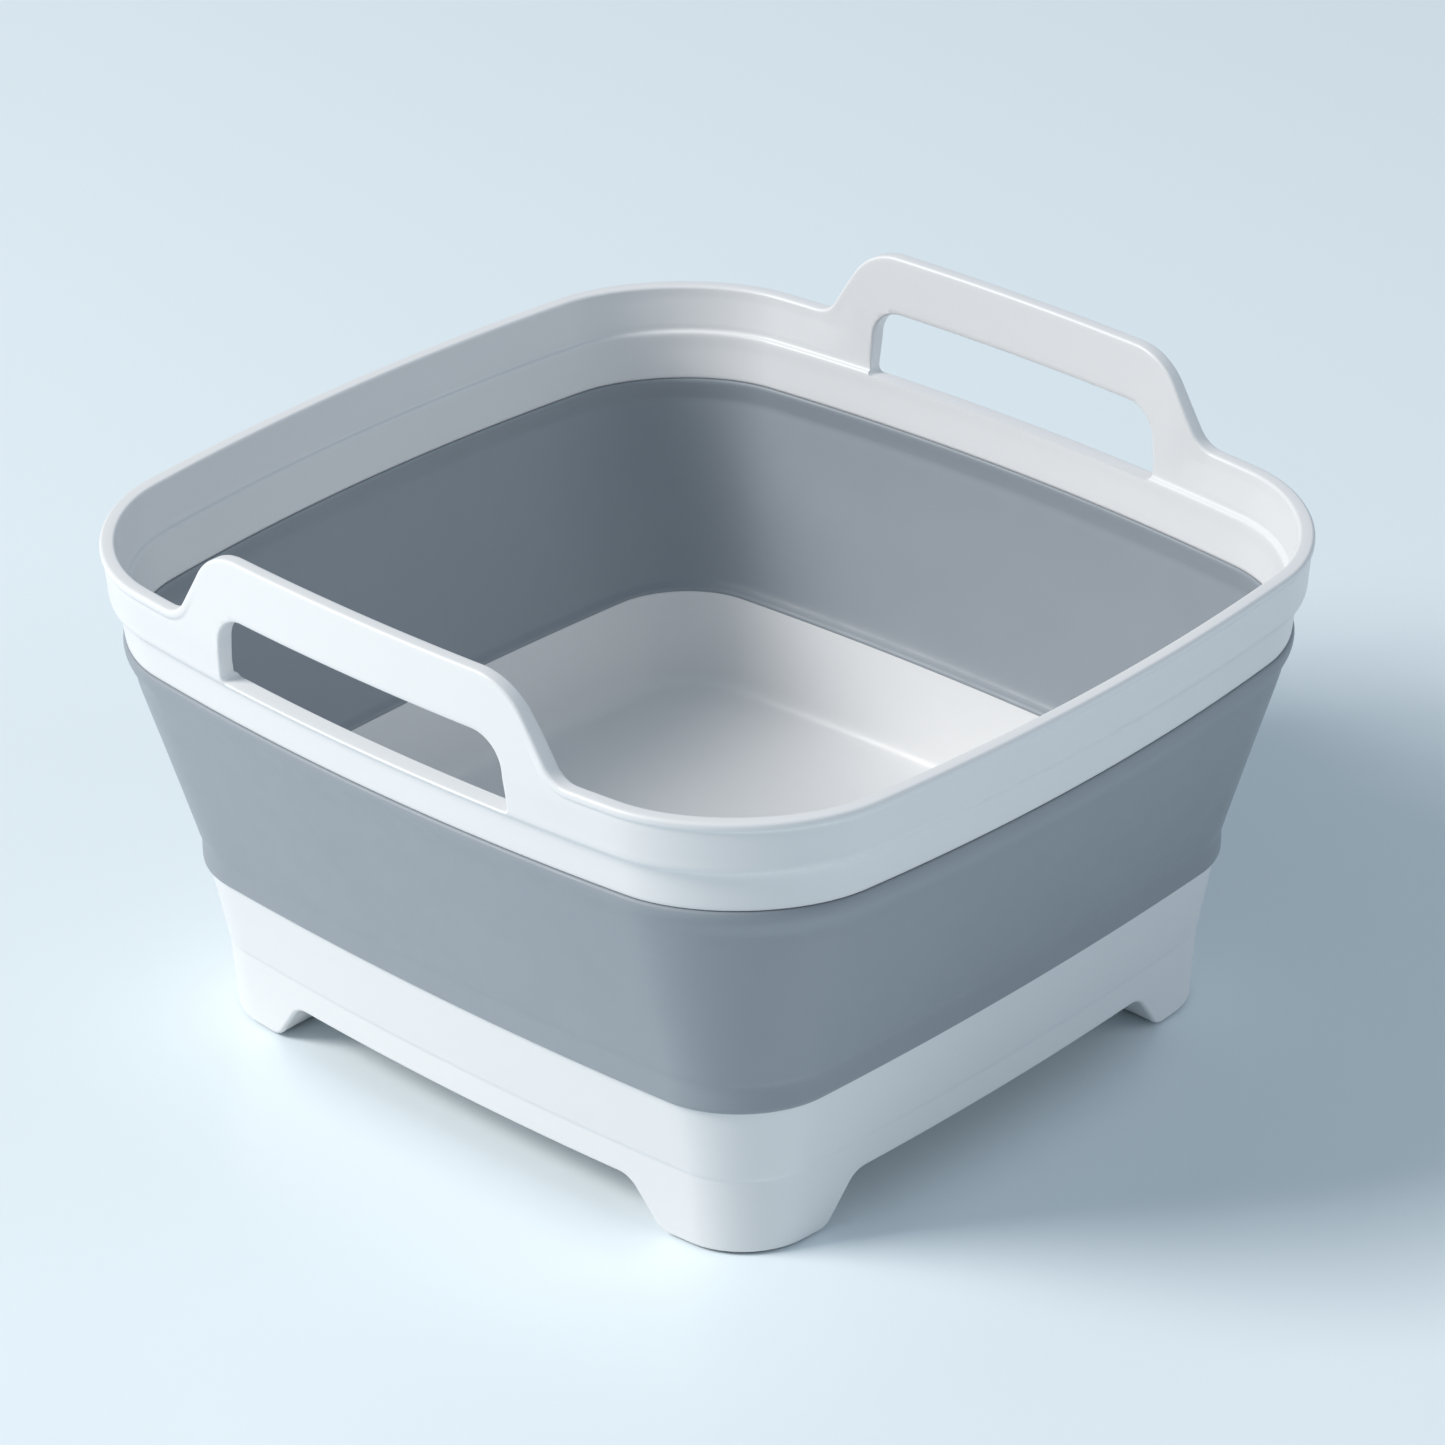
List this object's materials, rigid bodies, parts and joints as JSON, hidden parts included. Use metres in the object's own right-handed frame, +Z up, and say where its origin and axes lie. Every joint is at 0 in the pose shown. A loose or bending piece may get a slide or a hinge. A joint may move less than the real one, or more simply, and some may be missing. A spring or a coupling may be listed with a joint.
{
  "type": "foot spa basin",
  "caption": "Collapsible square foot soaking basin: rigid rim with loop handles, soft folding wall, rigid tray on corner legs with rubber pads and a drain plug.",
  "frame": {"origin": "on the ground under the centre of the basin", "axes": "+Z up, the two handles on -X and +X, the plain sides on -Y and +Y"},
  "size_m": [0.3594, 0.3822, 0.2316],
  "materials": {
    "rim_plastic": "satin white polypropylene",
    "tray_plastic": "satin white polypropylene",
    "wall_rubber": "smooth matte grey thermoplastic rubber",
    "pad_rubber": "matte dark rubber",
    "plug_plastic": "satin white polypropylene",
    "seal_rubber": "smooth grey thermoplastic rubber"
  },
  "bodies": {
    "base": {"base_tray": "tray_plastic", "folding_wall": "wall_rubber", "foot_pad_front_left": "pad_rubber", "foot_pad_front_right": "pad_rubber", "foot_pad_rear_left": "pad_rubber", "foot_pad_rear_right": "pad_rubber"},
    "rim": {"rim_frame": "rim_plastic"},
    "plug": {"drain_plug": "plug_plastic", "plug_seal": "seal_rubber"}
  },
  "joints": [
    {"name": "rim_collapse", "type": "slide", "parent": "base", "child": "rim", "axis": [0, 0, -1], "range_m": [0, 0.13], "deforming": ["folding_wall"]},
    {"name": "plug_lift", "type": "slide", "parent": "base", "child": "plug", "axis": [0, 0, 1], "range_m": [0, 0.04]}
  ]
}
